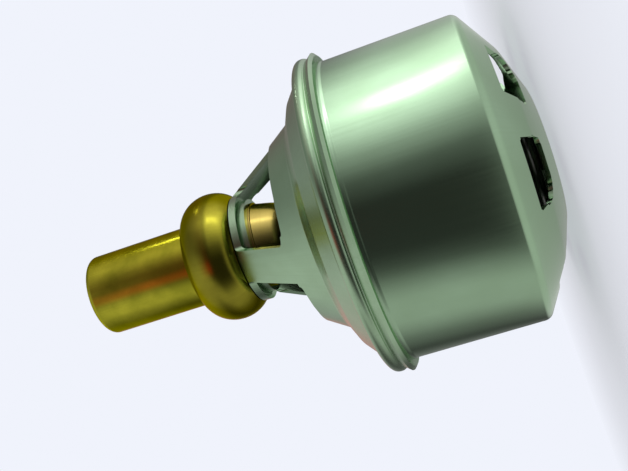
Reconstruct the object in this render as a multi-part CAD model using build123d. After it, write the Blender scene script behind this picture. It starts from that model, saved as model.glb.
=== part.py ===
from build123d import *
import math
import os

# Heavy-duty engine thermostat of the wax type. It stands on the flat end of its can, with the
# wax capsule at the top. Origin: centre of the flat end. +Z runs along the axis to the capsule.
# Lengths are millimetres and angles are degrees.

# Housing can: one deep-drawn steel cup with windows in its sloping crown
can_radius = 30.0
can_wall = 0.8
can_height = 38.3  # flat end to mouth
crown_height = 8.6  # flat end to the cylinder's edge
crown_edge_round = 1.8
crown_knee_radius = 21.5
crown_knee_height = 3.2
crown_knee_round = 6.0
crown_flat_radius = 12.5
crown_flat_round = 4.0
dimple_radius = 6.4  # pressed inwards to centre the spring
dimple_depth = 1.6
sized_step = 0.15  # the mouth's end is drawn wider by this much, and the body below is a fit
sized_depth = 3.9  # mouth to the step
sized_slope = 0.4  # height of the step
mouth_flare = 0.6  # the mouth turns out again by this much, and the rolled rim grips it
mouth_land = 0.6  # straight end of the flared mouth
mouth_slope = 0.5  # height of the flare
mouth_edge_round = 0.3

# Crown windows: pairs with a narrow arm between the two
crown_pairs = 3
crown_turn = 33.5  # the first narrow arm, measured from the first cage arm
crown_arm_angle = 17.6
crown_window_angle = 31.5
crown_window_outer_radius = 25.2
crown_window_inner_radius = 18.0
crown_window_round = 1.2
crown_window_end_round = 3.4

# Cage: a pressed cone with three arms that holds the capsule, rolled over the can's mouth
cage_wall = 0.9
cage_arms = 3
cage_arm_width = 6.5
hub_height = 22.3  # can mouth to the hub's outer face
hub_radius = 10.9
hub_bend = 1.5
neck_depth = 3.0  # collar drawn inwards from the hub's hole
band_radius = 18.5  # where the arms leave the cone's solid band
arm_round = 5.0
arm_root_round = 0.8
knee_radius = 21.4  # steep cone to valve seat
knee_height = 6.0  # above the can's mouth
shoulder_radius = 25.4  # valve seat to shoulder
shoulder_height = 4.1  # above the can's mouth
groove_clearance = 0.05  # rim's groove, rolled in behind the flared mouth, to the can
lip_reach = 0.45  # the lip stands out past the rim by this much
lip_drop = 2.7  # below the can's mouth

# Wax capsule
cup_radius = 8.25
cup_wall = 0.8
cup_end_wall = 1.0
cup_length = 32.8  # hub face to the closed end
cup_end_round = 1.2
collar_radius = 13.1
collar_length = 10.9  # hub face to where the plain tube leaves the collar
collar_middle = 5.0  # hub face to the collar's widest place
collar_clearance = 0.05  # collar's bore to the cup's tube
collar_lip_wall = 0.9  # collar edge rolled under the guide's flange
collar_lip_bore_radius = 9.6
cup_flange_thickness = 0.9
guide_flange_radius = 10.6  # the cup's and the boot's flanges are as wide
guide_flange_thickness = 2.6
guide_body_radius = 8.65
guide_shoulder = 0.7  # body standing out of the neck
guide_step = 0.35  # body to nose
nose_length = 8.2
nose_end_radius = 5.4
nose_bulge = 0.5
boot_flange_thickness = 2.1
boot_wall = 1.9
boot_end_wall = 1.5
boot_length = 24.0  # flange's lower face to the closed end
washer_radius = 4.6
washer_thickness = 1.0
piston_radius = 2.5
piston_clearance = 0.03
piston_point_length = 3.0
piston_point_radius = 1.2
piston_foot_chamfer = 0.4

# Valve
seat_gap = 0.3
plate_wall = 1.2
plate_radius = 23.4
plate_rise = 2.5  # plate's outer face above the can's mouth
dish_radius = 11.0
dish_depth = 4.2
socket_depth = 5.1
socket_clearance = 0.1
seal_radius = 24.8
seal_inner_radius = 21.6
seal_foot = 1.2  # rubber below the plate

# Return spring
spring_wire = 2.2
spring_active_turns = 5.2
spring_closed_turns = 1.1  # at each end
spring_foot_radius = 9.6
spring_head_radius = 14.6
spring_grind = 0.5  # taken off each end coil

# Heights that follow
sized_radius = can_radius + sized_step
mouth_radius = sized_radius + mouth_flare
rim_radius = mouth_radius + cage_wall
groove_radius = sized_radius + groove_clearance + cage_wall
hub_z = can_height + hub_height
neck_end_z = hub_z - neck_depth
nose_z = neck_end_z - guide_shoulder
nose_end_z = nose_z - nose_length
flange_z = hub_z + collar_lip_wall
boot_z = flange_z + guide_flange_thickness
cup_flange_z = boot_z + boot_flange_thickness
boot_end_z = boot_z + boot_length
piston_top_z = boot_end_z - boot_end_wall
cup_end_z = hub_z + cup_length
plate_z = can_height + plate_rise
dish_z = plate_z - dish_depth
socket_z = dish_z - socket_depth
bore_radius = piston_radius + piston_clearance
boot_radius = bore_radius + boot_wall

# Corners of the cage's outer skin that other shapes are set from, as (radius, height)
hub_corner = (hub_radius, hub_z)
knee_corner = (knee_radius, can_height + knee_height)
shoulder_corner = (shoulder_radius, can_height + shoulder_height)


def revolved(*outline):
    """Solid of revolution about Z from a closed outline drawn as (radius, height)."""
    return revolve(Plane.XZ * make_face(outline), Axis.Z)


def turned(*points):
    """Solid of revolution about Z from a closed polygon of (radius, height) points."""
    return revolved(Polyline(*points, close=True))


def pressed(corners, bends, wall, side):
    """Sheet of revolution from one skin's (radius, height) corners and bend radii.

    The wall lies on the left of the skin's direction for side 1 and on its right for side -1.
    """
    headings = [math.atan2(end[1] - start[1], end[0] - start[0]) for start, end in zip(corners, corners[1:])]
    turns = [math.remainder(after - before, math.tau) for before, after in zip(headings, headings[1:])]
    others = []
    for corner, heading, turn in zip(corners, [headings[0], *headings], [0, *turns, 0]):
        reach = side * wall / math.cos(turn / 2)
        square = heading + turn / 2 + math.pi / 2
        others.append((corner[0] + reach * math.cos(square), corner[1] + reach * math.sin(square)))
    other_bends = [max(0, bend - side * math.copysign(wall, turn)) for bend, turn in zip(bends, turns)]
    skin = FilletPolyline(*corners, radius=bends)
    other_skin = FilletPolyline(*others, radius=other_bends)
    ends = [Line(corners[0], others[0]), Line(corners[-1], others[-1])]
    return revolved(*skin.edges(), *other_skin.edges(), *ends)


def height_on(start, end, radius):
    """Height at a radius on the straight line between two (radius, height) points."""
    return start[1] + (end[1] - start[1]) * (radius - start[0]) / (end[0] - start[0])


def across(start, end, radius, reach):
    """The two points at a reach from a line's point, one on each side, square to the line."""
    length = math.dist(start, end)
    step_r = reach * (end[1] - start[1]) / length
    step_z = reach * (start[0] - end[0]) / length
    height = height_on(start, end, radius)
    return (radius + step_r, height + step_z), (radius - step_r, height - step_z)


def parallel_height(start, end, radius, drop):
    """Height at a radius on the line that runs square to another by a drop below it."""
    slope = (end[1] - start[1]) / (end[0] - start[0])
    return height_on(start, end, radius) - drop * math.hypot(1, slope)


def from_axis(edge):
    """Distance of an edge's middle from the Z axis."""
    return math.hypot(edge.center().X, edge.center().Y)


def around(edge):
    """Angle of an edge's middle about the Z axis, counted from +X."""
    return math.atan2(edge.center().Y, edge.center().X)


def crown_window():
    """Cutter for one crown window, starting at +X, with its far inner corner well rounded."""
    edge = (can_radius, crown_height)
    knee = (crown_knee_radius, crown_knee_height)
    flat = (crown_flat_radius, 0)
    reach = 4 * can_wall
    outer = across(knee, edge, crown_window_outer_radius, reach)
    inner = across(flat, knee, crown_window_inner_radius, reach)
    section = Plane.XZ * make_face(Polyline(*outer, *reversed(inner), close=True))
    window = revolve(section, Axis.Z, revolution_arc=crown_window_angle)
    through = [line for line in window.edges().filter_by(GeomType.LINE)
               if abs(line.length - 2 * reach) < 1e-3]
    near_end = sorted(through, key=around)[:2]
    far_end = sorted(sorted(through, key=around)[2:], key=from_axis)
    end_room = outer[1][0] - inner[1][0] - 2 * crown_window_round
    window = fillet(far_end[0], min(crown_window_end_round, end_room))
    sharp = [line for line in window.edges().filter_by(GeomType.LINE)
             if any((line.center() - old.center()).length < 1e-3 for old in near_end + far_end[1:])]
    return fillet(sharp, crown_window_round)


def housing_can():
    """Drawn cup: dimpled flat end, sloping crown with windows, plain wall, flared mouth."""
    step_z = can_height - sized_depth - sized_slope
    flare_z = can_height - mouth_land - mouth_slope
    corners = [
        (0, dimple_depth),
        (dimple_radius, dimple_depth),
        (dimple_radius + dimple_depth, 0),
        (crown_flat_radius, 0),
        (crown_knee_radius, crown_knee_height),
        (can_radius, crown_height),
        (can_radius, step_z),
        (sized_radius, step_z + sized_slope),
        (sized_radius, flare_z),
        (mouth_radius, flare_z + mouth_slope),
        (mouth_radius, can_height),
    ]
    bends = [
        1.3 * can_wall,
        2 * can_wall,
        crown_flat_round,
        crown_knee_round,
        crown_edge_round,
        0.5 * can_wall,
        1.1 * can_wall,
        0.5 * can_wall,
        1.1 * can_wall,
    ]
    can = pressed(corners, bends, can_wall, 1)
    mouth_edge = can.edges().filter_by(GeomType.CIRCLE).group_by(Axis.Z)[-1].sort_by(SortBy.RADIUS)[-1]
    can = fillet(mouth_edge, mouth_edge_round)
    window = crown_window()
    twin = mirror(window, Plane.XZ)
    for pair in range(crown_pairs):
        arm = crown_turn + pair * 360 / crown_pairs
        can -= Rot(0, 0, arm + crown_arm_angle / 2) * window
        can -= Rot(0, 0, arm - crown_arm_angle / 2) * twin
    return can


def cage_windows():
    """Cutters for the openings between the cage's arms, square to the cone at the band."""
    back = across(hub_corner, knee_corner, band_radius, 4 * cage_wall)[0]
    out = across(hub_corner, knee_corner, band_radius, 2 * band_radius)[1]
    openings = turned((hub_radius, back[1]), back, out, (hub_radius, out[1]))
    for arm in range(cage_arms):
        strip = Box(2 * out[0], cage_arm_width, 4 * out[1], align=(Align.MIN, Align.CENTER, Align.CENTER))
        openings -= Rot(0, 0, arm * 360 / cage_arms) * strip
    cutters = []
    for opening in openings.solids():
        rounded = fillet(rising_edges(opening)[2:], arm_round)
        cutters.append(fillet(rising_edges(rounded)[:2], arm_root_round))
    return cutters


def rising_edges(cutter):
    """Edges of a cutter that run up through the sheet, the nearest to the axis first."""
    rising = cutter.edges().filter_by(lambda edge: abs((edge @ 1 - edge @ 0).Z) > 3 * cage_wall)
    return rising.sort_by(from_axis)


def cage():
    """Pressed cage: neck, hub, three arms, valve seat, shoulder and the rim rolled over the can."""
    top = can_height + cage_wall
    flare_turn = math.atan2(mouth_flare, mouth_slope)
    rim_low_z = can_height - mouth_land - cage_wall * math.tan(flare_turn / 2)
    groove_z = rim_low_z - (rim_radius - groove_radius) * mouth_slope / mouth_flare
    corners = [
        (guide_body_radius, neck_end_z),
        (guide_body_radius, hub_z),
        hub_corner,
        knee_corner,
        shoulder_corner,
        (can_radius - can_wall, top),
        (rim_radius, top),
        (rim_radius, rim_low_z),
        (groove_radius, groove_z),
        (rim_radius + lip_reach, can_height - lip_drop),
    ]
    bends = [
        1.3 * cage_wall,
        hub_bend,
        1.6 * cage_wall,
        1.3 * cage_wall,
        0.5 * cage_wall,
        1.3 * cage_wall,
        1.05 * cage_wall,
        0.2 * cage_wall,
    ]
    blank = pressed(corners, bends, cage_wall, -1)
    return blank - cage_windows()


def wax_cup():
    """Drawn brass cup: plain tube with a closed end and a flange that the collar clamps."""
    tube = FilletPolyline(
        (cup_radius, cup_flange_z + cup_flange_thickness),
        (cup_radius, cup_end_z),
        (0, cup_end_z),
        radius=cup_end_round,
    )
    inner_radius = cup_radius - cup_wall
    rest = Polyline(
        (0, cup_end_z),
        (0, cup_end_z - cup_end_wall),
        (inner_radius, cup_end_z - cup_end_wall),
        (inner_radius, cup_flange_z),
        (guide_flange_radius, cup_flange_z),
        (guide_flange_radius, cup_flange_z + cup_flange_thickness),
        (cup_radius, cup_flange_z + cup_flange_thickness),
    )
    return revolved(*tube.edges(), *rest.edges())


def collar():
    """Thick round brass collar that clamps the cup, the boot and the guide, its edge rolled in."""
    middle_z = hub_z + collar_middle
    half = collar_length - collar_middle
    start_angle = -math.degrees(math.asin(collar_middle / half))
    bore = cup_radius + collar_clearance
    round_side = EllipticalCenterArc(
        (bore, middle_z), collar_radius - bore, half, start_angle, arc_size=90 - start_angle)
    foot = round_side @ 0
    shoulder = round_side @ 1
    inside = Polyline(
        (shoulder.X, shoulder.Y),
        (bore, cup_flange_z + cup_flange_thickness),
        (guide_flange_radius, cup_flange_z + cup_flange_thickness),
        (guide_flange_radius, flange_z),
        (collar_lip_bore_radius, flange_z),
        (collar_lip_bore_radius, hub_z),
        (foot.X, foot.Y),
    )
    return revolved(round_side, *inside.edges())


def wax_charge():
    """Wax that fills the cup round the boot."""
    inner_radius = cup_radius - cup_wall
    top = cup_end_z - cup_end_wall
    return turned(
        (boot_radius, cup_flange_z),
        (inner_radius, cup_flange_z),
        (inner_radius, top),
        (0, top),
        (0, boot_end_z),
        (boot_radius, boot_end_z),
    )


def squeeze_boot():
    """Rubber boot: a flange clamped in the collar and a closed sleeve round the piston."""
    return turned(
        (bore_radius, boot_z),
        (guide_flange_radius, boot_z),
        (guide_flange_radius, cup_flange_z),
        (boot_radius, cup_flange_z),
        (boot_radius, boot_end_z),
        (0, boot_end_z),
        (0, piston_top_z),
        (piston_point_radius + piston_clearance, piston_top_z),
        (bore_radius, piston_top_z - piston_point_length),
    )


def backup_washer():
    """Hard ring in the guide's top that keeps the boot out of the bore."""
    return turned(
        (bore_radius, boot_z - washer_thickness),
        (washer_radius, boot_z - washer_thickness),
        (washer_radius, boot_z),
        (bore_radius, boot_z),
    )


def guide():
    """Brass guide: clamped flange, body pressed into the cage's neck, tapered nose and bore."""
    nose_radius = guide_body_radius - guide_step
    middle = ((nose_radius + nose_end_radius) / 2 + nose_bulge, (nose_z + nose_end_z) / 2)
    taper = ThreePointArc((nose_radius, nose_z), middle, (nose_end_radius, nose_end_z))
    rest = Polyline(
        (nose_end_radius, nose_end_z),
        (bore_radius, nose_end_z),
        (bore_radius, boot_z - washer_thickness),
        (washer_radius, boot_z - washer_thickness),
        (washer_radius, boot_z),
        (guide_flange_radius, boot_z),
        (guide_flange_radius, flange_z),
        (guide_body_radius, flange_z),
        (guide_body_radius, nose_z),
        (nose_radius, nose_z),
    )
    return revolved(taper, *rest.edges())


def piston():
    """Steel rod from the boot's closed end to the valve's socket, pointed at the top."""
    return turned(
        (0, socket_z),
        (piston_radius - piston_foot_chamfer, socket_z),
        (piston_radius, socket_z + piston_foot_chamfer),
        (piston_radius, piston_top_z - piston_point_length),
        (piston_point_radius, piston_top_z),
        (0, piston_top_z),
    )


def valve_plate():
    """Dished valve disc: flat rim over the spring, web, and the socket that takes the piston."""
    socket_radius = piston_radius + socket_clearance
    corners = [
        (0, socket_z),
        (socket_radius, socket_z),
        (socket_radius, dish_z),
        (dish_radius, dish_z),
        (dish_radius + plate_wall, plate_z),
        (plate_radius, plate_z),
    ]
    bends = [0, 1.4 * plate_wall, 0.8, 1.3 * plate_wall]
    return pressed(corners, bends, plate_wall, -1)


def valve_seal():
    """Rubber ring moulded round the disc's edge, its top parallel to the seat."""
    drop = cage_wall + seat_gap
    low = plate_z - plate_wall - seal_foot
    return turned(
        (seal_inner_radius, low),
        (seal_radius, low),
        (seal_radius, parallel_height(knee_corner, shoulder_corner, seal_radius, drop)),
        (seal_inner_radius, parallel_height(knee_corner, shoulder_corner, seal_inner_radius, drop)),
        (seal_inner_radius, plate_z),
        (plate_radius, plate_z),
        (plate_radius, plate_z - plate_wall),
        (seal_inner_radius, plate_z - plate_wall),
    )


def return_spring():
    """Conical spring, closed and ground at both ends, from the can's flat end to the valve disc."""
    low = can_wall
    high = plate_z - plate_wall
    rise = high - low - spring_wire + 2 * spring_grind
    closed_rise = spring_closed_turns * spring_wire
    pitch = (rise - 2 * closed_rise) / spring_active_turns
    turns = spring_active_turns + 2 * spring_closed_turns
    steps = round(12 * turns)
    places = []
    for step in range(steps + 1):
        turn = turns * step / steps
        head_turn = turns - turn
        if turn < spring_closed_turns:
            height = turn * spring_wire
        elif head_turn < spring_closed_turns:
            height = rise - head_turn * spring_wire
        else:
            height = closed_rise + (turn - spring_closed_turns) * pitch
        radius = spring_foot_radius + (spring_head_radius - spring_foot_radius) * turn / turns
        angle = 2 * math.pi * turn
        middle_z = low + spring_wire / 2 - spring_grind + height
        places.append((radius * math.cos(angle), radius * math.sin(angle), middle_z))
    path = Spline(*places)
    wire = sweep(Plane(origin=path @ 0, z_dir=path % 0) * Circle(spring_wire / 2), path=path, is_frenet=True)
    slab_radius = spring_head_radius + 2 * spring_wire
    slab = Pos(0, 0, (low + high) / 2) * Cylinder(slab_radius, high - low)
    return wire & slab


pieces = {
    "housing_can": housing_can,
    "cage": cage,
    "wax_cup": wax_cup,
    "collar": collar,
    "wax_charge": wax_charge,
    "squeeze_boot": squeeze_boot,
    "backup_washer": backup_washer,
    "guide": guide,
    "piston": piston,
    "valve_plate": valve_plate,
    "valve_seal": valve_seal,
    "return_spring": return_spring,
}

os.makedirs("parts", exist_ok=True)
for name, build in pieces.items():
    export_step(build(), f"parts/{name}.step")
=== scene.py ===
"""Engine thermostat: finely turned shells, finishes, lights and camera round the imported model."""

import logging
import math
from collections.abc import Callable, Sequence
from dataclasses import dataclass
from enum import Enum

import bmesh
import bpy
from mathutils import Matrix, Vector


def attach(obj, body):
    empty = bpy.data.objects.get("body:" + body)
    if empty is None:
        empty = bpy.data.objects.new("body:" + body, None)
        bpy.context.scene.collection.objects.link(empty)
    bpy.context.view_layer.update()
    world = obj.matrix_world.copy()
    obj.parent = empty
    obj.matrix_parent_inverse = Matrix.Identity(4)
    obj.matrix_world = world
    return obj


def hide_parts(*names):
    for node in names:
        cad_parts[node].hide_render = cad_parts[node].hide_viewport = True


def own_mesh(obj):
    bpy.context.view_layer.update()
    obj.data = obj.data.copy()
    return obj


log = logging.getLogger("thermostat")
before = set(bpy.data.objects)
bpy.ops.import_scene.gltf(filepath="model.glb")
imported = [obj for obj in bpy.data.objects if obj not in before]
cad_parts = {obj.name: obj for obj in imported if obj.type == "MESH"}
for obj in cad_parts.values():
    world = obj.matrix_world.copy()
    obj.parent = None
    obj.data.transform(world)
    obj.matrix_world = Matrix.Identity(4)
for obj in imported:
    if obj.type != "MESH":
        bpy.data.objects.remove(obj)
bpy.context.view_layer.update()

Colour = tuple[float, float, float]
Point = tuple[float, float]
Corner = tuple[float, float, float]
Span = tuple[Point, Point]  # (value, result) at the start, and (value, result) at the end
Socket = bpy.types.NodeSocket

MM = 0.001
UP = (0.0, 0.0, 1.0)
CENTRE = (0.0, 0.0, 0.0)
MERGE = 1e-6  # metres within which corners are merged
SAME_LEVEL = 1e-7  # metres within which corners stand at one height
ON_AXIS = 1e-6  # millimetres within which a corner lies on the axis
SHARP = math.radians(32)  # edges that turn more stay sharp
LEAST_TURN = 0.01  # radians; a corner that turns less isn't rounded
FACET_TURN = 10  # degrees that one facet of a round turns
WINDOW_FACETS = 6  # facets in a window's rounded corner
ARC_STEPS = 24  # parts of a window's curved border
ROUND_ROOM = 1.25  # room kept at a border's end, in rounds

MOTTLE_DETAIL = 4.0  # octaves
FINE_DETAIL = 2.0
PATCHES: Span = ((0.38, 0.0), (0.66, 1.0))
STREAKS: Span = ((0.35, 0.0), (0.75, 0.35))
HALF_GLOSS: Span = ((0.3, 0.0), (0.7, 0.5))
DRAWN_LINES = (70.0, 25.0)  # how closely lines repeat round the axis, and along it
TURNED_LINES = (0.8, 4500.0)
PLAIN_GRAIN = 900.0
LINE_DEPTH = 0.00002  # metres
CLOUD_SHARE = 5  # how much larger a plain finish's clouds are than its grain
GRAIN_EDGES = (0.3, 0.7)
GRAIN_RELIEF = 0.15
GRAIN_DEPTH = 0.00005  # metres

PAPER: Colour = (0.871, 0.896, 0.973)
BLACK: Colour = (0.0, 0.0, 0.0)


class Grain(Enum):
    """Which way a finish's fine lines run on a piece that is round about Z."""

    AXIAL = "axial"
    ROUND = "round"
    NONE = "none"


class Side(Enum):
    """The side of a skin's own direction on which its wall lies."""

    LEFT = 1
    RIGHT = -1


class NodeSheet:
    """A material's node tree, with short calls for the nodes used here."""

    def __init__(self, name: str) -> None:
        """Start a material with a Principled shader.

        Args:
            name: the material's name.
        """
        self.material = bpy.data.materials.new(name)
        self.material.use_nodes = True
        self.tree = self.material.node_tree
        self.tree.nodes.clear()
        self.out = self.add("ShaderNodeOutputMaterial")
        self.shader = self.add("ShaderNodeBsdfPrincipled")
        self.link(self.shader.outputs["BSDF"], self.out.inputs["Surface"])

    @classmethod
    def around(cls, world: bpy.types.World) -> "NodeSheet":
        """Wrap a world's node tree, emptied but for its output.

        Args:
            world: the world.

        Returns:
            The sheet, which has no material or shader.
        """
        world.use_nodes = True
        sheet = cls.__new__(cls)
        sheet.tree = world.node_tree
        sheet.tree.nodes.clear()
        sheet.out = sheet.add("ShaderNodeOutputWorld")
        return sheet

    def add(self, kind: str) -> bpy.types.Node:
        """Make a node of one kind."""
        return self.tree.nodes.new(kind)

    def link(self, source: Socket, target: Socket) -> None:
        """Join an output socket to an input socket."""
        self.tree.links.new(source, target)

    def place(self) -> Socket:
        """Return the object coordinates, which are the model's own in metres."""
        return self.add("ShaderNodeTexCoord").outputs["Object"]

    def parts(self, vector: Socket) -> tuple[Socket, Socket, Socket]:
        """Split a vector.

        Args:
            vector: the vector's socket.

        Returns:
            The sockets of its three parts.
        """
        node = self.add("ShaderNodeSeparateXYZ")
        self.link(vector, node.inputs[0])
        return node.outputs[0], node.outputs[1], node.outputs[2]

    def vector_sum(self, operation: str, first: Socket, second: Socket | None = None) -> bpy.types.Node:
        """One sum on vectors.

        Args:
            operation: the Vector Math node's operation.
            first: the first vector.
            second: the second vector, where the operation has one.

        Returns:
            The node.
        """
        node = self.add("ShaderNodeVectorMath")
        node.operation = operation
        self.link(first, node.inputs[0])
        if second is not None:
            self.link(second, node.inputs[1])
        return node

    def round_place(self, stretch: Point) -> Socket:
        """Coordinates rolled out round Z: the direction from the axis, and the height.

        Args:
            stretch: how closely the pattern repeats round the axis, and along it.

        Returns:
            A vector socket.
        """
        across, along, height = self.parts(self.place())
        flat = self.add("ShaderNodeCombineXYZ")
        self.link(across, flat.inputs[0])
        self.link(along, flat.inputs[1])
        unit = self.vector_sum("NORMALIZE", flat.outputs[0])
        scaled = self.vector_sum("SCALE", unit.outputs[0])
        scaled.inputs["Scale"].default_value = stretch[0]
        lift = self.add("ShaderNodeCombineXYZ")
        self.link(self.maths("MULTIPLY", height, stretch[1]), lift.inputs[2])
        return self.vector_sum("ADD", scaled.outputs[0], lift.outputs[0]).outputs[0]

    def noise(self, vector: Socket, scale: float, detail: float = 3.0) -> Socket:
        """A noise value from 0 to 1.

        Args:
            vector: where to read it.
            scale: the noise's scale.
            detail: the noise's octaves.

        Returns:
            The value's socket.
        """
        node = self.add("ShaderNodeTexNoise")
        node.inputs["Scale"].default_value = scale
        node.inputs["Detail"].default_value = detail
        self.link(vector, node.inputs["Vector"])
        return node.outputs["Fac"]

    def maths(self, operation: str, first: Socket, second: float | Socket) -> Socket:
        """One sum on values.

        Args:
            operation: the Math node's operation.
            first: the first value.
            second: a number or another value.

        Returns:
            The result's socket.
        """
        node = self.add("ShaderNodeMath")
        node.operation = operation
        self.link(first, node.inputs[0])
        if isinstance(second, Socket):
            self.link(second, node.inputs[1])
        else:
            node.inputs[1].default_value = second
        return node.outputs[0]

    def spread(self, value: Socket, span: Span) -> Socket:
        """Map a value from one span to another, held at both ends.

        Args:
            value: the value.
            span: where it starts and the result there, and where it ends and the result there.

        Returns:
            The result's socket.
        """
        low, high = span
        node = self.add("ShaderNodeMapRange")
        self.link(value, node.inputs["Value"])
        node.inputs["From Min"].default_value = low[0]
        node.inputs["From Max"].default_value = high[0]
        node.inputs["To Min"].default_value = low[1]
        node.inputs["To Max"].default_value = high[1]
        return node.outputs["Result"]

    def mixed(self, share: Socket, first: Colour | Socket, second: Colour | Socket) -> Socket:
        """Mix two colours.

        Args:
            share: how much of the second, from 0 to 1.
            first: a colour or its socket.
            second: a colour or its socket.

        Returns:
            The mixed colour's socket.
        """
        node = self.add("ShaderNodeMix")
        node.data_type = "RGBA"
        self.link(share, node.inputs["Factor"])
        for socket, colour in ((node.inputs[6], first), (node.inputs[7], second)):
            if isinstance(colour, tuple):
                socket.default_value = (*colour, 1.0)
            else:
                self.link(colour, socket)
        return node.outputs[2]

    def bump(self, value: Socket, strength: float, depth: float) -> None:
        """Add fine relief to the shader's normal.

        Args:
            value: the relief's height from 0 to 1.
            strength: the bump's strength.
            depth: the relief's depth in metres.
        """
        node = self.add("ShaderNodeBump")
        node.inputs["Strength"].default_value = strength
        node.inputs["Distance"].default_value = depth
        self.link(value, node.inputs["Height"])
        self.link(node.outputs["Normal"], self.shader.inputs["Normal"])

    def light(self, kind: str, colour: Colour | Socket, strength: float = 1.0) -> Socket:
        """A shader that gives light.

        Args:
            kind: the node's kind, Emission on a surface or Background in a world.
            colour: its colour or the colour's socket.
            strength: its strength.

        Returns:
            The shader's socket.
        """
        node = self.add(kind)
        node.inputs["Strength"].default_value = strength
        if isinstance(colour, tuple):
            node.inputs["Color"].default_value = (*colour, 1.0)
        else:
            self.link(colour, node.inputs["Color"])
        return node.outputs[0]

    def either(self, share: Socket, first: Socket, second: Socket) -> Socket:
        """Mix two shaders.

        Args:
            share: how much of the second, from 0 to 1.
            first: a shader's socket.
            second: a shader's socket.

        Returns:
            The mixed shader's socket.
        """
        node = self.add("ShaderNodeMixShader")
        self.link(share, node.inputs["Fac"])
        self.link(first, node.inputs[1])
        self.link(second, node.inputs[2])
        return node.outputs[0]


@dataclass(frozen=True)
class MetalFinish:
    """A worked metal: two shades mottled into each other, fine lines and a span of gloss."""

    name: str
    shade: Colour
    dull_shade: Colour
    roughness: Point
    grain: Grain = Grain.AXIAL
    mottle: float = 60.0
    relief: float = 0.12
    edge: Colour = (1.0, 1.0, 1.0)

    def material(self) -> bpy.types.Material:
        """Build the finish's material."""
        sheet = NodeSheet(self.name)
        shader = sheet.shader
        shader.inputs["Metallic"].default_value = 1.0
        shader.inputs["Specular Tint"].default_value = (*self.edge, 1.0)
        clouds = sheet.noise(sheet.place(), self.mottle, MOTTLE_DETAIL)
        lines = self.lines(sheet)
        colour = sheet.mixed(sheet.spread(clouds, PATCHES), self.shade, self.dull_shade)
        streaked = sheet.mixed(sheet.spread(lines, STREAKS), colour, self.dull_shade)
        sheet.link(streaked, shader.inputs["Base Color"])
        gloss = sheet.maths("ADD", sheet.spread(lines, HALF_GLOSS), sheet.spread(clouds, HALF_GLOSS))
        smoothest, roughest = self.roughness
        sheet.link(sheet.spread(gloss, ((0.0, smoothest), (1.0, roughest))), shader.inputs["Roughness"])
        sheet.bump(lines, self.relief, LINE_DEPTH)
        return sheet.material

    def lines(self, sheet: NodeSheet) -> Socket:
        """The fine lines that drawing or turning leaves.

        Args:
            sheet: the material being built.

        Returns:
            A value socket from 0 to 1.
        """
        if self.grain is Grain.AXIAL:
            return sheet.noise(sheet.round_place(DRAWN_LINES), 1.0)
        if self.grain is Grain.ROUND:
            return sheet.noise(sheet.round_place(TURNED_LINES), 1.0, FINE_DETAIL)
        return sheet.noise(sheet.place(), PLAIN_GRAIN, FINE_DETAIL)


@dataclass(frozen=True)
class PlainFinish:
    """A finish that is no metal: moulded rubber, plastic or wax, mottled and faintly grained."""

    name: str
    shade: Colour
    other_shade: Colour
    roughness: Point
    grain_scale: float = 500.0

    def material(self) -> bpy.types.Material:
        """Build the finish's material."""
        sheet = NodeSheet(self.name)
        clouds = sheet.noise(sheet.place(), self.grain_scale / CLOUD_SHARE)
        grain = sheet.noise(sheet.place(), self.grain_scale)
        sheet.link(sheet.mixed(clouds, self.shade, self.other_shade), sheet.shader.inputs["Base Color"])
        fine, coarse = zip(GRAIN_EDGES, self.roughness)
        sheet.link(sheet.spread(grain, (fine, coarse)), sheet.shader.inputs["Roughness"])
        sheet.bump(grain, GRAIN_RELIEF, GRAIN_DEPTH)
        return sheet.material


BRASS_EDGE: Colour = (0.75, 0.7, 0.2)
CAN_STEEL = MetalFinish("can_steel_look", (0.46, 0.67, 0.45), (0.41, 0.60, 0.39), (0.14, 0.2), relief=0.03)
CAGE_STEEL = MetalFinish(
    "cage_steel_look",
    (0.46, 0.66, 0.44),
    (0.40, 0.57, 0.37),
    (0.2, 0.28),
    mottle=90.0,
    relief=0.05,
)
CUP_BRASS = MetalFinish(
    "cup_brass_look",
    (0.64, 0.60, 0.05),
    (0.42, 0.41, 0.03),
    (0.14, 0.24),
    mottle=170.0,
    relief=0.08,
    edge=BRASS_EDGE,
)
COLLAR_BRASS = MetalFinish(
    "collar_brass_look",
    (0.37, 0.34, 0.035),
    (0.27, 0.24, 0.025),
    (0.16, 0.26),
    mottle=150.0,
    relief=0.05,
    edge=BRASS_EDGE,
)
GUIDE_BRASS = MetalFinish(
    "guide_brass_look",
    (0.46, 0.37, 0.10),
    (0.36, 0.27, 0.07),
    (0.16, 0.26),
    Grain.ROUND,
    relief=0.05,
    edge=BRASS_EDGE,
)
PISTON_STEEL = MetalFinish(
    "piston_steel_look", (0.72, 0.72, 0.70), (0.62, 0.62, 0.6), (0.12, 0.2), Grain.ROUND
)
VALVE_STEEL = MetalFinish("valve_steel_look", (0.5, 0.55, 0.5), (0.4, 0.44, 0.4), (0.25, 0.4))
SPRING_STEEL = MetalFinish(
    "spring_steel_look", (0.42, 0.42, 0.4), (0.3, 0.3, 0.29), (0.25, 0.4), Grain.NONE
)
BLACK_RUBBER = PlainFinish("black_rubber_look", (0.018, 0.018, 0.018), (0.035, 0.034, 0.033), (0.45, 0.7))
WHITE_PLASTIC = PlainFinish("white_plastic_look", (0.84, 0.84, 0.81), (0.78, 0.78, 0.74), (0.3, 0.45))
COPPER_WAX = PlainFinish("copper_wax_look", (0.5, 0.25, 0.12), (0.62, 0.38, 0.2), (0.5, 0.7), PLAIN_GRAIN)


def bent(corners: Sequence[Point], bends: Sequence[float]) -> list[Corner]:
    """Give each corner of a skin its bend radius."""
    return [(*corner, bend) for corner, bend in zip(corners, bends, strict=True)]


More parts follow.
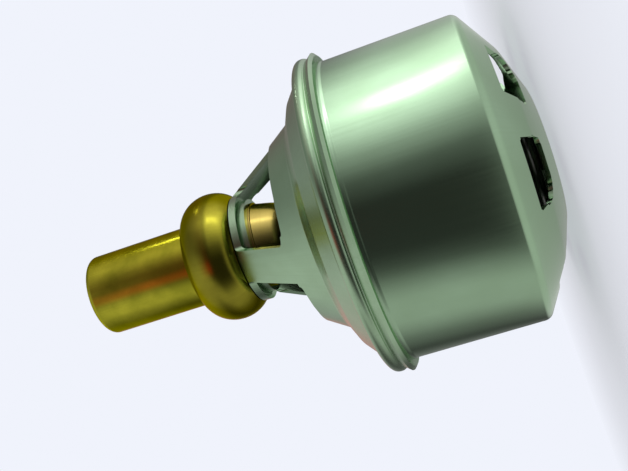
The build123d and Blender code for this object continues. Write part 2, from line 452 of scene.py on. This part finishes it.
def sheet_loop(skin: Sequence[Corner], wall: float, side: Side) -> list[Corner]:
    """Close a pressed sheet's section from one skin's corners.

    Args:
        skin: (radius, height, bend radius) of each corner in order.
        wall: the sheet's thickness.
        side: where the wall lies.

    Returns:
        The closed outline's corners.
    """
    headings = [math.atan2(b[1] - a[1], b[0] - a[0]) for a, b in zip(skin, skin[1:])]
    turns = [math.remainder(b - a, math.tau) for a, b in zip(headings, headings[1:])]
    others = []
    for (radius, height, bend), heading, turn in zip(skin, [headings[0], *headings], [0.0, *turns, 0.0]):
        reach = side.value * wall / math.cos(turn / 2)
        square = heading + turn / 2 + math.pi / 2
        inner_bend = max(0.0, bend - side.value * math.copysign(wall, turn)) if turn else 0.0
        others.append((radius + reach * math.cos(square), height + reach * math.sin(square), inner_bend))
    return [*skin, *reversed(others)]


def turned_shape(outline: Sequence[Corner], steps: int = 180) -> bmesh.types.BMesh:
    """Spin a closed outline about Z.

    Args:
        outline: (radius, height, bend radius) corners, closed; a side on the axis is left out.
        steps: how many parts the full turn has.

    Returns:
        The closed shell.
    """
    shape = bmesh.new()
    corners = [shape.verts.new((radius * MM, 0.0, height * MM)) for radius, height, _ in outline]
    around = list(zip(outline, corners))
    for (first, start), (second, end) in zip(around, around[1:] + around[:1]):
        if first[0] > ON_AXIS or second[0] > ON_AXIS:
            shape.edges.new((start, end))
    for index, (here, corner) in enumerate(around):
        before, after = Vector(outline[index - 1][:2]), Vector(outline[(index + 1) % len(outline)][:2])
        turn = (Vector(here[:2]) - before).angle(after - Vector(here[:2]), 0.0)
        if here[2] > 0.0 and turn > LEAST_TURN:
            bmesh.ops.bevel(
                shape,
                geom=[corner],
                offset=here[2] * math.tan(turn / 2) * MM,
                offset_type="OFFSET",
                segments=max(2, round(math.degrees(turn) / FACET_TURN)),
                profile=0.5,
                affect="VERTICES",
                material=-1,
            )
    bmesh.ops.spin(
        shape,
        geom=[*shape.verts, *shape.edges],
        axis=UP,
        cent=CENTRE,
        angle=math.tau,
        steps=steps,
        use_merge=True,
    )
    bmesh.ops.remove_doubles(shape, verts=shape.verts, dist=MERGE)
    bmesh.ops.recalc_face_normals(shape, faces=shape.faces)
    return shape


def window_shape(lower: Sequence[Corner], upper: Sequence[Corner], levels: Point) -> bmesh.types.BMesh:
    """A closed cutter between two plan outlines with the same number of corners.

    Args:
        lower: (x, y, round) corners of the lower outline.
        upper: the same for the upper outline.
        levels: the heights of the two.

    Returns:
        The closed cutter.
    """
    shape = bmesh.new()
    rounded = []
    for outline, level in zip((lower, upper), levels):
        corners = [shape.verts.new((x * MM, y * MM, level * MM)) for x, y, _ in outline]
        for pair in zip(corners, corners[1:] + corners[:1]):
            shape.edges.new(pair)
        rounded += [(corner, size) for corner, (_, _, size) in zip(corners, outline) if size > 0.0]
    for corner, size in rounded:
        bmesh.ops.bevel(
            shape,
            geom=[corner],
            offset=size * MM,
            segments=WINDOW_FACETS,
            profile=0.5,
            affect="VERTICES",
            material=-1,
        )
    rings = [
        [edge for edge in shape.edges if abs(edge.verts[0].co.z - level * MM) < SAME_LEVEL]
        for level in levels
    ]
    bmesh.ops.bridge_loops(shape, edges=[*rings[0], *rings[1]])
    for ring in rings:
        bmesh.ops.contextual_create(shape, geom=ring)
    bmesh.ops.recalc_face_normals(shape, faces=shape.faces)
    return shape


def smooth(mesh: bpy.types.Mesh) -> None:
    """Shade a mesh smoothly but for its real edges."""
    mesh.shade_smooth()
    mesh.set_sharp_from_angle(angle=SHARP)


def as_object(shape: bmesh.types.BMesh, name: str) -> bpy.types.Object:
    """Turn a bmesh into a linked, smoothly shaded object at the origin.

    Args:
        shape: the mesh, which is freed.
        name: the object's name.

    Returns:
        The object.
    """
    mesh = bpy.data.meshes.new(name)
    shape.to_mesh(mesh)
    shape.free()
    piece = bpy.data.objects.new(name, mesh)
    bpy.context.scene.collection.objects.link(piece)
    smooth(mesh)
    return piece


def cut(piece: bpy.types.Object, cutters: Sequence[bmesh.types.BMesh]) -> None:
    """Cut holes in a piece.

    Args:
        piece: the piece, whose mesh is replaced.
        cutters: closed shapes, which are freed.
    """
    helpers = [as_object(shape, f"cutter_{number}") for number, shape in enumerate(cutters)]
    for helper in helpers:
        step = piece.modifiers.new("window", "BOOLEAN")
        step.operation = "DIFFERENCE"
        step.solver = "EXACT"
        step.object = helper
    graph = bpy.context.evaluated_depsgraph_get()
    mesh = bpy.data.meshes.new_from_object(piece.evaluated_get(graph))
    piece.modifiers.clear()
    piece.data = mesh
    smooth(mesh)
    for helper in helpers:
        bpy.data.objects.remove(helper)


def polar(radius: float, angle: float) -> Point:
    """A point in plan from its distance and its angle in degrees."""
    return radius * math.cos(math.radians(angle)), radius * math.sin(math.radians(angle))


def rounded_arc(radius: float, span: Point, rounds: Point) -> list[Corner]:
    """Corners along a curved border in plan, with room left for the rounds at its ends.

    Args:
        radius: the border's radius.
        span: its first and last angle in degrees.
        rounds: the round at its first and at its last corner.

    Returns:
        The (x, y, round) corners.
    """
    first, last = span
    length = math.radians(abs(last - first)) * radius
    corners = [(*polar(radius, first), rounds[0])]
    for step in range(1, ARC_STEPS):
        along = length * step / ARC_STEPS
        if along > ROUND_ROOM * rounds[0] and length - along > ROUND_ROOM * rounds[1]:
            corners.append((*polar(radius, first + (last - first) * step / ARC_STEPS), 0.0))
    return [*corners, (*polar(radius, last), rounds[1])]


def square_to(start: Point, end: Point, radius: float) -> Callable[[float], float]:
    """The border of a hole cut square to a sloping skin.

    Args:
        start: (radius, height) of one end of the skin's line.
        end: (radius, height) of its other end.
        radius: where the border meets the skin.

    Returns:
        A call that gives the border's radius at a height.
    """
    slope = (end[1] - start[1]) / (end[0] - start[0])
    height = start[1] + slope * (radius - start[0])
    return lambda level: radius - slope * (level - height)


class Piece:
    """What every dressed piece shares."""

    @staticmethod
    def settle(
        piece: bpy.types.Object, finish: MetalFinish | PlainFinish, body: str, node: str, slot: str
    ) -> None:
        """Dress a new piece and hand it its place in the model.

        Args:
            piece: the object.
            finish: its finish.
            body: the body that it rides on.
            node: the node that it stands for.
            slot: the node's material slot; not used.
        """
        piece.data.materials.clear()
        piece.data.materials.append(finish.material())
        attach(piece, body)
        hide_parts(node)
        log.info("%s stands for %s with %d faces", piece.name, node, len(piece.data.polygons))

    @staticmethod
    def dress(node: str, finish: MetalFinish | PlainFinish) -> None:
        """Give a node of the model a finish.

        Args:
            node: the node's name.
            finish: the finish.
        """
        material = finish.material()
        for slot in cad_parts[node].material_slots:
            slot.material = material
        log.info("%s dressed as %s", node, finish.name)


@dataclass
class HousingCan(Piece):
    """The drawn can with its windowed crown. Sizes in millimetres, angles in degrees."""

    radius: float = 30.0
    wall: float = 0.8
    height: float = 38.3
    edge: Point = (30.0, 8.6)
    knee: Point = (21.5, 3.2)
    flat_radius: float = 12.5
    dimple_radius: float = 6.4
    dimple_depth: float = 1.6
    bends: tuple[float, ...] = (0.0, 1.04, 1.6, 4.0, 6.0, 1.8, 0.4, 0.88, 0.4, 0.88, 0.0)
    sized_step: float = 0.15
    sized_depth: float = 3.9
    sized_slope: float = 0.4
    flare: float = 0.6
    flare_slope: float = 0.5
    land: float = 0.6
    pairs: int = 3
    turn: float = 33.5
    arm_angle: float = 17.6
    window_angle: float = 31.5
    window_inner: float = 18.0
    window_outer: float = 25.2
    window_levels: Point = (-2.0, 9.0)
    corner_round: float = 1.2
    end_round: float = 3.4

    def build(self) -> None:
        """Spin the can, cut its windows and dress it."""
        piece = as_object(turned_shape(self.outline()), "drawn_can")
        cutters = []
        for pair in range(self.pairs):
            middle = self.turn + pair * 360 / self.pairs
            for hand in (1, -1):
                cutters.append(self.window(middle, hand))
        cut(piece, cutters)
        self.settle(piece, CAN_STEEL, "housing", "housing_can", "can_steel")

    def outline(self) -> list[Corner]:
        """The can's section."""
        low = self.height - self.land - self.flare_slope
        foot = self.height - self.sized_depth - self.sized_slope
        sized_radius = self.radius + self.sized_step
        mouth = sized_radius + self.flare
        corners = [
            (0.0, self.dimple_depth),
            (self.dimple_radius, self.dimple_depth),
            (self.dimple_radius + self.dimple_depth, 0.0),
            (self.flat_radius, 0.0),
            self.knee,
            self.edge,
            (self.radius, foot),
            (sized_radius, foot + self.sized_slope),
            (sized_radius, low),
            (mouth, low + self.flare_slope),
            (mouth, self.height),
        ]
        return sheet_loop(bent(corners, self.bends), self.wall, Side.LEFT)

    def window(self, middle: float, hand: int) -> bmesh.types.BMesh:
        """One crown window's cutter.

        Args:
            middle: the narrow arm's angle.
            hand: 1 for the window after the arm, -1 for the one before it.

        Returns:
            The closed cutter.
        """
        near = self.arm_angle / 2
        first, last = middle + hand * near, middle + hand * (near + self.window_angle)
        inner = square_to((self.flat_radius, 0.0), self.knee, self.window_inner)
        outer = square_to(self.knee, self.edge, self.window_outer)
        outlines = []
        for level in self.window_levels:
            corners = rounded_arc(outer(level), (first, last), (self.corner_round, self.corner_round))
            corners += rounded_arc(inner(level), (last, first), (self.end_round, self.corner_round))
            outlines.append(corners)
        return window_shape(outlines[0], outlines[1], self.window_levels)


@dataclass
class Cage(Piece):
    """The pressed cage with its arms, seat and rolled rim. Sizes in millimetres."""

    wall: float = 0.9
    arms: int = 3
    arm_width: float = 6.5
    can_radius: float = 30.0
    can_height: float = 38.3
    can_wall: float = 0.8
    sized_step: float = 0.15
    flare: float = 0.6
    flare_slope: float = 0.5
    land: float = 0.6
    neck_radius: float = 8.65
    neck_end: float = 57.6
    hub: Point = (10.9, 60.6)
    knee: Point = (21.4, 44.3)
    shoulder: Point = (25.4, 42.4)
    groove_radius: float = 31.1
    lip: Point = (32.1, 35.6)
    bends: tuple[float, ...] = (0.0, 1.17, 1.5, 1.44, 1.17, 0.45, 1.17, 0.945, 0.18, 0.0)
    band_radius: float = 18.5
    window_levels: Point = (46.5, 61.5)
    arm_round: float = 5.0
    root_round: float = 0.8

    def build(self) -> None:
        """Spin the cage, cut its windows and dress it."""
        piece = as_object(turned_shape(self.outline()), "pressed_cage")
        cut(piece, [self.window(arm * 360 / self.arms) for arm in range(self.arms)])
        self.settle(piece, CAGE_STEEL, "housing", "cage", "cage_steel")

    def outline(self) -> list[Corner]:
        """The cage's section."""
        top = self.can_height + self.wall
        rim = self.can_radius + self.sized_step + self.flare + self.wall
        slope = math.atan2(self.flare, self.flare_slope)
        rim_low = self.can_height - self.land - self.wall * math.tan(slope / 2)
        groove = rim_low - (rim - self.groove_radius) * self.flare_slope / self.flare
        corners = [
            (self.neck_radius, self.neck_end),
            (self.neck_radius, self.hub[1]),
            self.hub,
            self.knee,
            self.shoulder,
            (self.can_radius - self.can_wall, top),
            (rim, top),
            (rim, rim_low),
            (self.groove_radius, groove),
            self.lip,
        ]
        return sheet_loop(bent(corners, self.bends), self.wall, Side.RIGHT)

    def window(self, arm: float) -> bmesh.types.BMesh:
        """The cutter of the window that follows an arm.

        Args:
            arm: the arm's angle.

        Returns:
            The closed cutter.
        """
        border = square_to(self.hub, self.knee, self.band_radius)
        outlines = []
        for level in self.window_levels:
            corners = self.arc(self.hub[0], arm, 1, self.root_round)
            corners += self.arc(border(level), arm, -1, self.arm_round)
            outlines.append(corners)
        return window_shape(outlines[0], outlines[1], self.window_levels)

    def arc(self, radius: float, arm: float, hand: int, size: float) -> list[Corner]:
        """Corners along one curved border, between two arms' sides.

        Args:
            radius: the border's radius.
            arm: the first arm's angle.
            hand: 1 to run on from that arm, -1 to run back to it.
            size: the round at both ends.

        Returns:
            The corners.
        """
        half = math.degrees(math.asin(self.arm_width / 2 / radius))
        start, end = arm + half, arm + 360 / self.arms - half
        if hand < 0:
            start, end = end, start
        return rounded_arc(radius, (start, end), (size, size))


@dataclass
class Capsule(Piece):
    """The wax cup, the collar and the guide. Sizes in millimetres."""

    facets: int = 144
    cup_radius: float = 8.25
    cup_wall: float = 0.8
    cup_top: float = 93.4
    cup_flange_top: float = 67.1
    end_wall: float = 1.0
    end_round: float = 1.2
    collar_steps: int = 26
    collar_radius: float = 13.1
    collar_middle: float = 65.6
    collar_half: float = 5.9
    collar_bore: float = 8.3
    hub_height: float = 60.6
    lip_height: float = 61.5
    lip_bore: float = 9.6
    flange_radius: float = 10.6
    flange_top: float = 64.1
    cavity_top: float = 66.2
    guide_facets: int = 120
    body_radius: float = 8.65
    body_round: float = 0.2
    nose_start: float = 56.9
    nose_step: float = 0.35
    nose_end: Point = (5.4, 48.7)
    nose_bulge: float = 0.5
    nose_end_round: float = 0.5
    nose_side_round: float = 9.0
    bore: float = 2.53
    washer_radius: float = 4.6
    washer_seat: float = 63.1

    def build(self) -> None:
        """Spin the cup, the collar and the guide, and dress what they hold."""
        cup = as_object(turned_shape(self.cup_outline(), self.facets), "brass_cup")
        self.settle(cup, CUP_BRASS, "housing", "wax_cup", "capsule_brass")
        collar = as_object(turned_shape(self.collar_outline(), self.facets), "brass_collar")
        self.settle(collar, COLLAR_BRASS, "housing", "collar", "collar_brass")
        guide = as_object(turned_shape(self.guide_outline(), self.guide_facets), "brass_guide")
        self.settle(guide, GUIDE_BRASS, "housing", "guide", "guide_brass")
        self.dress("wax_charge", COPPER_WAX)
        self.dress("squeeze_boot", BLACK_RUBBER)
        self.dress("backup_washer", WHITE_PLASTIC)

    def cup_outline(self) -> list[Corner]:
        """The cup's section."""
        inside = self.cup_radius - self.cup_wall
        return [
            (self.cup_radius, self.cup_flange_top, 0.0),
            (self.cup_radius, self.cup_top, self.end_round),
            (0.0, self.cup_top, 0.0),
            (0.0, self.cup_top - self.end_wall, 0.0),
            (inside, self.cup_top - self.end_wall, 0.0),
            (inside, self.cavity_top, 0.0),
            (self.flange_radius, self.cavity_top, 0.0),
            (self.flange_radius, self.cup_flange_top, 0.0),
        ]

    def collar_outline(self) -> list[Corner]:
        """The collar's section: round outside, stepped bore inside."""
        girth = self.collar_radius - self.collar_bore
        start = -math.asin((self.collar_middle - self.hub_height) / self.collar_half)
        outside = []
        for step in range(self.collar_steps + 1):
            angle = start + (math.pi / 2 - start) * step / self.collar_steps
            radius = self.collar_bore + girth * math.cos(angle)
            outside.append((radius, self.collar_middle + self.collar_half * math.sin(angle), 0.0))
        return [
            *outside,
            (self.collar_bore, self.cup_flange_top, 0.0),
            (self.flange_radius, self.cup_flange_top, 0.0),
            (self.flange_radius, self.lip_height, 0.0),
            (self.lip_bore, self.lip_height, 0.0),
            (self.lip_bore, self.hub_height, 0.0),
        ]

    def guide_outline(self) -> list[Corner]:
        """The guide's section."""
        shoulder = self.body_radius - self.nose_step
        end_radius, end_height = self.nose_end
        bulge = ((shoulder + end_radius) / 2 + self.nose_bulge, (self.nose_start + end_height) / 2)
        return [
            (self.bore, end_height, 0.0),
            (end_radius, end_height, self.nose_end_round),
            (*bulge, self.nose_side_round),
            (shoulder, self.nose_start, 0.0),
            (self.body_radius, self.nose_start, self.body_round),
            (self.body_radius, self.lip_height, 0.0),
            (self.flange_radius, self.lip_height, 0.0),
            (self.flange_radius, self.flange_top, 0.0),
            (self.washer_radius, self.flange_top, 0.0),
            (self.washer_radius, self.washer_seat, 0.0),
            (self.bore, self.washer_seat, 0.0),
        ]


class Valve(Piece):
    """The piston and the valve disc with its rubber."""

    def build(self) -> None:
        """Dress the moving parts."""
        self.dress("piston", PISTON_STEEL)
        self.dress("valve_plate", VALVE_STEEL)
        self.dress("valve_seal", BLACK_RUBBER)


@dataclass
class ReturnSpring(Piece):
    """The conical coil spring, which shortens as the valve lifts. Sizes in millimetres."""

    wire: float = 2.2
    active_turns: float = 5.2
    closed_turns: float = 1.1
    foot_radius: float = 9.6
    head_radius: float = 14.6
    grind: float = 0.5
    low: float = 0.8
    high: float = 39.58
    travel: float = 9.5
    facets: int = 16
    steps_per_turn: int = 30

    @property
    def turns(self) -> float:
        """All the coil's turns."""
        return self.active_turns + 2 * self.closed_turns

    def build(self) -> None:
        """Draw a round wire along the coil, grind its ends flat, dress it and give it a mesh of its own.
        """
        piece = as_object(self.coil(), "coil_spring")
        self.settle(piece, SPRING_STEEL, "housing", "return_spring", "spring_steel")
        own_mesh(piece)

    def coil(self) -> bmesh.types.BMesh:
        """The closed wire, flat at both ends."""
        shape = bmesh.new()
        bmesh.ops.create_circle(shape, cap_ends=True, segments=self.facets, radius=self.wire / 2 * MM)
        ring = list(shape.edges)
        here = self.stance(0.0)
        bmesh.ops.transform(shape, matrix=here, verts=shape.verts)
        steps = round(self.steps_per_turn * self.turns)
        for step in range(1, steps + 1):
            there = self.stance(self.turns * step / steps)
            made = bmesh.ops.extrude_edge_only(shape, edges=ring)["geom"]
            corners = [part for part in made if isinstance(part, bmesh.types.BMVert)]
            ring = [part for part in made if isinstance(part, bmesh.types.BMEdge) and part.is_boundary]
            bmesh.ops.transform(shape, matrix=there @ here.inverted(), verts=corners)
            here = there
        bmesh.ops.contextual_create(shape, geom=ring)
        for corner in shape.verts:
            corner.co.z = min(max(corner.co.z, self.low * MM), self.high * MM)
        bmesh.ops.remove_doubles(shape, verts=shape.verts, dist=MERGE)
        bmesh.ops.recalc_face_normals(shape, faces=shape.faces)
        return shape

    def stance(self, turn: float) -> Matrix:
        """Where the wire's round section stands, square to the coil.

        Args:
            turn: how many turns up from the foot.

        Returns:
            The section's place, with its axis along the wire.
        """
        radius = self.foot_radius + (self.head_radius - self.foot_radius) * turn / self.turns
        middle = self.low + self.wire / 2 - self.grind + self.climb(turn)
        upright = Matrix.Rotation(math.pi / 2, 4, "X")
        out = Matrix.Translation((radius * MM, 0.0, middle * MM))
        return Matrix.Rotation(math.tau * turn, 4, "Z") @ out @ upright

    def climb(self, turn: float) -> float:
        """How far the wire has risen: closed at the foot, open between, and closed at the head.

        Args:
            turn: how many turns up from the foot.

        Returns:
            The rise in millimetres.
        """
        rise = self.high - self.low - self.wire + 2 * self.grind
        pitch = (rise - 2 * self.closed_turns * self.wire) / self.active_turns
        open_turns = min(max(turn - self.closed_turns, 0.0), self.active_turns)
        return (turn - open_turns) * self.wire + open_turns * pitch


@dataclass
class Lamp:
    """One soft lamp that looks at the model's middle. Sizes in metres, angles in degrees."""

    name: str
    azimuth: float
    elevation: float
    distance: float
    size: Point
    radiance: float
    mirrored: bool = False

    def build(self, front: float, target: Vector) -> None:
        """Make the lamp.

        Args:
            front: the azimuth that the lamp's own is counted from.
            target: what it looks at.
        """
        light = bpy.data.lights.new(self.name, "AREA")
        light.shape = "RECTANGLE"
        light.size, light.size_y = self.size
        light.energy = self.radiance * math.pi * self.size[0] * self.size[1]
        lamp = bpy.data.objects.new(self.name, light)
        bpy.context.scene.collection.objects.link(lamp)
        around, up = math.radians(front + self.azimuth), math.radians(self.elevation)
        aim = Vector((math.cos(around) * math.cos(up), math.sin(around) * math.cos(up), math.sin(up)))
        turn = aim.to_track_quat("Z", "Y").to_matrix().to_4x4()
        lamp.matrix_world = Matrix.Translation(target + aim * self.distance) @ turn
        lamp.visible_camera = False
        lamp.visible_glossy = self.mirrored


@dataclass
class View:
    """The camera, lying on its side as the can does in its view. Its place is in metres."""

    sensor_width: float = 36.0
    focal_length: float = 48.27
    nearest: float = 0.001
    place: Corner = (0.1583531, 0.0439152, 0.0154987)
    turn: tuple[Corner, Corner, Corner] = (
        (-0.08774827, -0.31840873, 0.94388353),
        (-0.34553932, 0.89843552, 0.27095423),
        (-0.93429269, -0.30237311, -0.18885889),
    )

    def build(self) -> None:
        """Make the camera and look through it."""
        lens = bpy.data.cameras.new("camera")
        lens.sensor_width = self.sensor_width
        lens.lens = self.focal_length
        lens.clip_start = self.nearest
        holder = bpy.data.objects.new("camera", lens)
        bpy.context.scene.collection.objects.link(holder)
        holder.matrix_world = Matrix.Translation(self.place) @ Matrix(self.turn).to_4x4()
        bpy.context.scene.camera = holder


@dataclass
class Panels:
    """Soft panels at both sides and a dark gap in front, which only what shines sees."""

    front: float = 15.5
    glow: float = 1.8
    lean_side: Span = ((-0.3, 1.15), (0.05, 0.0))
    lean_rise: Span = ((0.0, 0.0), (0.45, 0.45))
    levels: tuple[Point, ...] = (
        (-180.0, 0.3),
        (-138.0, 0.06),
        (-116.0, 0.2),
        (-94.0, 0.5),
        (-72.0, 0.52),
        (-59.0, 0.3),
        (-47.0, 0.09),
        (-34.0, 0.035),
        (4.0, 0.035),
        (22.0, 0.14),
        (40.0, 0.52),
        (56.0, 1.2),
        (70.0, 1.8),
        (94.0, 1.6),
        (106.0, 1.1),
        (128.0, 0.6),
        (180.0, 0.3),
    )

    def scaled(self, colour: Colour) -> Colour:
        """A colour's share of the glow."""
        return colour[0] / self.glow, colour[1] / self.glow, colour[2] / self.glow

    def grey(self, level: float) -> Colour:
        """A grey's share of the glow."""
        return self.scaled((level, level, level))

    def shade(self, sheet: NodeSheet, direction: Socket) -> tuple[Socket, tuple[Socket, Socket, Socket]]:
        """The panels' shade in a direction.

        Args:
            sheet: the node tree that needs it.
            direction: a vector that points from the model to the place seen.

        Returns:
            The shade, to be shown at the strength of the glow, and how far the direction points
            to the front, to the side and up.
        """
        turned = sheet.add("ShaderNodeVectorRotate")
        turned.rotation_type = "Z_AXIS"
        turned.inputs["Angle"].default_value = -math.radians(self.front)
        sheet.link(direction, turned.inputs["Vector"])
        ahead, side, rise = sheet.parts(turned.outputs[0])
        low_side = sheet.spread(side, self.lean_side)
        lean = sheet.maths("MULTIPLY", low_side, sheet.spread(rise, self.lean_rise))
        angle = sheet.maths("SUBTRACT", sheet.maths("ARCTAN2", side, ahead), lean)
        ramp = sheet.add("ShaderNodeValToRGB")
        stops = ramp.color_ramp.elements
        last = len(self.levels) - 1
        for number, (degrees, level) in enumerate(self.levels):
            position = (degrees + 180.0) / 360.0
            if number == 0:
                stop = stops[0]
            elif number == last:
                stop = stops[-1]
            else:
                stop = stops.new(position)
            stop.position = position
            stop.color = (*self.grey(level), 1.0)
        sheet.link(sheet.spread(angle, ((-math.pi, 0.0), (math.pi, 1.0))), ramp.inputs["Fac"])
        return ramp.outputs["Color"], (ahead, side, rise)


@dataclass
class Surroundings:
    """Pale paper to the camera, and the panels under a plain ceiling to what shines."""

    panels: Panels
    warmth: Colour = (0.34, 0.02, 0.01)
    ceiling: Point = (0.6, 0.25)
    key_side: Span = ((-0.1, 0.0), (0.3, 1.0))
    dimmed: Span = ((0.05, 0.0), (0.36, 0.68))
    dimmed_low: Span = ((0.02, 0.0), (0.12, 0.6))
    warm_start: Span = ((-0.42, 0.0), (-0.26, 1.0))
    warm_end: Span = ((-0.14, 1.0), (0.1, 0.15))
    warm_rise: Span = ((0.14, 0.0), (0.3, 1.0))
    ceiling_side: Span = ((-0.35, 0.0), (0.35, 1.0))
    ceiling_rise: Span = ((0.35, 0.0), (0.78, 1.0))

    def build(self) -> None:
        """Make the world."""
        world = bpy.data.worlds.new("studio")
        bpy.context.scene.world = world
        sheet = NodeSheet.around(world)
        mirrored = sheet.light("ShaderNodeBackground", self.mirrored(sheet), self.panels.glow)
        paper = sheet.light("ShaderNodeBackground", PAPER)
        path = sheet.add("ShaderNodeLightPath").outputs
        seen = sheet.maths("MAXIMUM", path["Is Camera Ray"], path["Is Transmission Ray"])
        sheet.link(sheet.either(seen, mirrored, paper), sheet.out.inputs["Surface"])

    def mirrored(self, sheet: NodeSheet) -> Socket:
        """What shines sees: the panels, dimmed as they rise on the key side, a warm strip and the ceiling.

        Args:
            sheet: the world's node tree.

        Returns:
            The colour's socket.
        """
        place = sheet.add("ShaderNodeTexCoord").outputs["Generated"]
        shade, (_, side, rise) = self.panels.shade(sheet, place)
        dimmed_low = sheet.spread(rise, self.dimmed_low)
        dimmed = sheet.maths("MAXIMUM", sheet.spread(rise, self.dimmed), dimmed_low)
        dimmed = sheet.maths("MULTIPLY", dimmed, sheet.spread(side, self.key_side))
        lower = sheet.mixed(dimmed, shade, BLACK)
        strip_end = sheet.spread(side, self.warm_end)
        strip = sheet.maths("MULTIPLY", sheet.spread(side, self.warm_start), strip_end)
        strip = sheet.maths("MULTIPLY", sheet.spread(rise, self.warm_rise), strip)
        warm = sheet.mixed(strip, BLACK, self.panels.scaled(self.warmth))
        lower = sheet.vector_sum("ADD", lower, warm).outputs[0]
        near, far = (self.panels.grey(level) for level in self.ceiling)
        upper = sheet.mixed(sheet.spread(side, self.ceiling_side), near, far)
        return sheet.mixed(sheet.spread(rise, self.ceiling_rise), lower, upper)


@dataclass
class Floor:
    """A plain floor under the flat end, which fades into the paper far off, and glows with painted light
    to what shines. Sizes in metres.
    """

    panels: Panels
    radius: float = 3.0
    facets: int = 64
    drop: float = 0.00005
    shades: tuple[Colour, Colour] = ((0.86, 0.88, 0.93), (0.88, 0.9, 0.95))
    grain_scale: float = 40.0
    roughness: float = 0.9
    gloss: float = 0.2
    fade: Span = ((0.03, 0.5), (0.12, 1.0))
    # Painted shadow in the floor's glow: its level right under the model and beside it, and where it
    # changes.
    under: Point = (0.4, 0.6)
    painted_contact_shadow: Span = ((0.018, 0.0), (0.034, 1.0))
    near: Span = ((0.045, 0.0), (0.1, 1.0))
    # A painted bright patch in the floor's glow, which puts a painted highlight on the can: its level, its
    # slope, and where it fades.
    painted_glow: float = 3.2
    painted_glow_slope: float = 0.305
    painted_glow_edge: Span = ((0.04, 1.0), (0.16, 0.0))
    painted_glow_start: Span = ((0.08, 0.0), (0.14, 1.0))

    def build(self) -> None:
        """Make the floor."""
        shape = bmesh.new()
        bmesh.ops.create_circle(shape, cap_ends=True, segments=self.facets, radius=self.radius)
        bmesh.ops.translate(shape, verts=shape.verts, vec=(0.0, 0.0, -self.drop))
        plane = as_object(shape, "floor")
        sheet = NodeSheet("floor_look")
        shader = sheet.shader
        shader.inputs["Roughness"].default_value = self.roughness
        shader.inputs["Specular IOR Level"].default_value = self.gloss
        grain = sheet.noise(sheet.place(), self.grain_scale, FINE_DETAIL)
        sheet.link(sheet.mixed(grain, *self.shades), shader.inputs["Base Color"])
        reach = sheet.vector_sum("LENGTH", sheet.place()).outputs["Value"]
        path = sheet.add("ShaderNodeLightPath").outputs
        faded = sheet.maths("MULTIPLY", sheet.spread(reach, self.fade), path["Is Camera Ray"])
        paper = sheet.light("ShaderNodeEmission", PAPER)
        plain = sheet.either(faded, shader.outputs["BSDF"], paper)
        # To glossy rays the floor glows instead: a painted reflection of the panels, a painted shadow and
        # a painted bright patch.
        mirrored = sheet.light("ShaderNodeEmission", self.mirrored(sheet, reach), self.panels.glow)
        look = sheet.either(path["Is Glossy Ray"], plain, mirrored)
        sheet.link(look, sheet.out.inputs["Surface"])
        plane.data.materials.append(sheet.material)

    def mirrored(self, sheet: NodeSheet, reach: Socket) -> Socket:
        """What shines sees of the floor, painted as a glow: a painted shadow under the model, a painted
        reflection of the panels, and a painted bright patch.

        Args:
            sheet: the floor's material.
            reach: the distance from the model's axis.

        Returns:
            The colour's socket.
        """
        shade, (ahead, side, _) = self.panels.shade(sheet, sheet.place())
        # Painted glow: a bright patch, seen only in reflections, that puts a painted highlight on the can
        # near its crown.
        slope = sheet.maths("SUBTRACT", sheet.maths("DIVIDE", ahead, side), self.painted_glow_slope)
        across = sheet.spread(sheet.maths("ABSOLUTE", slope, 0.0), self.painted_glow_edge)
        painted_glow = sheet.maths("MULTIPLY", across, sheet.spread(side, self.painted_glow_start))
        shade = sheet.mixed(painted_glow, shade, self.panels.grey(self.painted_glow))
        # Painted shadow: darker right under the model, lighter beside it.
        painted_shadow_below, painted_shadow_beside = (self.panels.grey(level) for level in self.under)
        under = sheet.mixed(sheet.spread(reach, self.painted_contact_shadow), painted_shadow_below, painted_shadow_beside)
        return sheet.mixed(sheet.spread(reach, self.near), under, shade)


@dataclass
class Studio:
    """Camera, surroundings, floor and lamps. Sizes in metres."""

    middle: Corner = (0.0, 0.0, 0.0465)
    lamps: tuple[Lamp, ...] = (
        Lamp("key", azimuth=77.0, elevation=20.0, distance=0.6, size=(0.34, 0.5), radiance=2.0),
        Lamp("fill", azimuth=-84.0, elevation=10.0, distance=0.7, size=(0.4, 0.5), radiance=0.6),
        Lamp("top", azimuth=150.0, elevation=60.0, distance=0.7, size=(0.4, 0.4), radiance=1.2),
        Lamp("window", 73.0, -4.0, 0.6, size=(0.1, 0.04), radiance=1.6, mirrored=True),
        Lamp("spark", 104.0, 23.0, 0.6, size=(0.035, 0.035), radiance=9.0, mirrored=True),
    )

    def build(self) -> None:
        """Make it all, the camera first."""
        panels = Panels()
        View().build()
        Surroundings(panels).build()
        Floor(panels).build()
        for lamp in self.lamps:
            lamp.build(panels.front, Vector(self.middle))


def main() -> None:
    """Build the studio and every piece in order."""
    logging.basicConfig(level=logging.INFO)
    bpy.context.scene.view_settings.view_transform = "Standard"
    for part in (Studio(), HousingCan(), Cage(), Capsule(), Valve(), ReturnSpring()):
        part.build()
        log.info("%s built", type(part).__name__)


if __name__ == "__main__":
    main()
